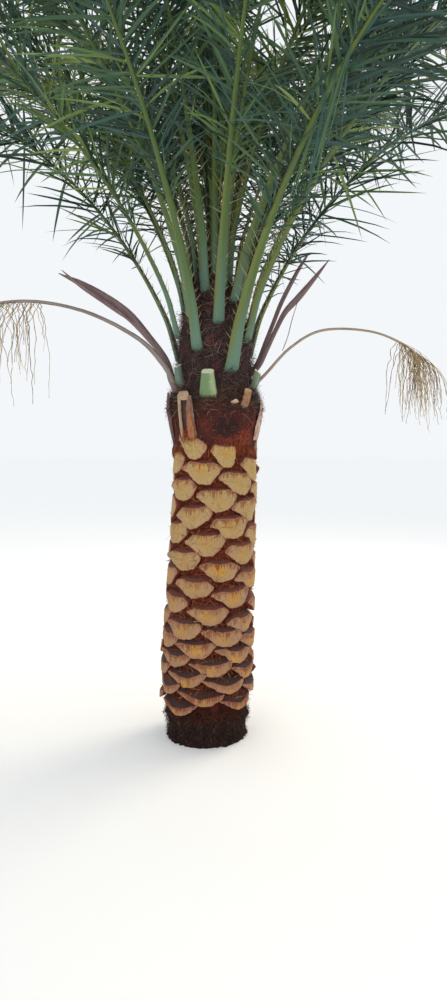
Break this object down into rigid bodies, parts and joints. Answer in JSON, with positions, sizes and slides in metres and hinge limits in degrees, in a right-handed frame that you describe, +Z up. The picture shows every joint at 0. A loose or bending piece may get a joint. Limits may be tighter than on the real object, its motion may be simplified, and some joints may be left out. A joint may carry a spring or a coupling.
{
  "type": "date palm tree",
  "caption": "Young date palm with a leaning trunk of cut leaf bases, a fibre collar, arching green fronds, dried flower sheaths and old fruit stalks.",
  "frame": {"origin": "centre of the flat cut under the trunk, at ground level", "axes": "+Z up, -Y is the front that the picture shows, +X is the viewer's right"},
  "size_m": [5.2686, 5.095, 4.88],
  "materials": {
    "leaf_base_bark": "rough cut leaf bases, yellow to tan, with dark fibre between",
    "collar_fibre": "matt red-brown fibre sheath",
    "heart_fibre": "matt tangled dark fibre",
    "frond_green": "satin blue-green leaf",
    "green_stalk": "satin green stalk with a pale cut end",
    "dry_stalk": "matt weathered stalk",
    "spathe": "matt dry purple-brown sheath",
    "fruit_stalk": "matt grey-brown stalk",
    "fruit_strand": "matt dry strands"
  },
  "bodies": {
    "root": {"trunk": "leaf_base_bark", "fibre_collar": "collar_fibre", "crown_heart": "heart_fibre", "spear_leaves": "frond_green", "frond_01_rising": "frond_green", "frond_01_arching": "frond_green", "frond_02_rising": "frond_green", "frond_02_arching": "frond_green", "frond_03_rising": "frond_green", "frond_03_arching": "frond_green", "frond_04_rising": "frond_green", "frond_04_arching": "frond_green", "frond_05_rising": "frond_green", "frond_05_arching": "frond_green", "frond_06": "frond_green", "frond_07": "frond_green", "frond_08": "frond_green", "frond_09": "frond_green", "frond_10": "frond_green", "frond_11": "frond_green", "frond_12": "frond_green", "frond_13": "frond_green", "frond_14": "frond_green", "frond_15": "frond_green", "frond_16": "frond_green", "frond_17": "frond_green", "frond_18": "frond_green", "frond_19": "frond_green", "frond_20": "frond_green", "frond_21": "frond_green", "frond_22": "frond_green", "frond_23": "frond_green", "frond_24": "frond_green", "frond_25": "frond_green", "frond_26": "frond_green", "frond_27": "frond_green", "frond_28": "frond_green", "frond_29": "frond_green", "frond_30": "frond_green", "frond_31": "frond_green", "frond_32": "frond_green", "frond_33": "frond_green", "frond_34": "frond_green", "dry_stub_left": "dry_stalk", "brown_stub_right": "dry_stalk", "green_stub_front": "green_stalk", "green_stub_left": "green_stalk", "green_stub_right": "green_stalk", "green_stub_back_left": "green_stalk", "green_stub_back_right": "green_stalk", "spathe_left": "spathe", "spathe_right_lower": "spathe", "spathe_right_upper": "spathe", "fruit_stalk_left_rising": "fruit_stalk", "fruit_stalk_left_hanging": "fruit_stalk", "strands_left": "fruit_strand", "fruit_stalk_right_rising": "fruit_stalk", "fruit_stalk_right_hanging": "fruit_stalk", "strands_right": "fruit_strand"}
  },
  "joints": []
}
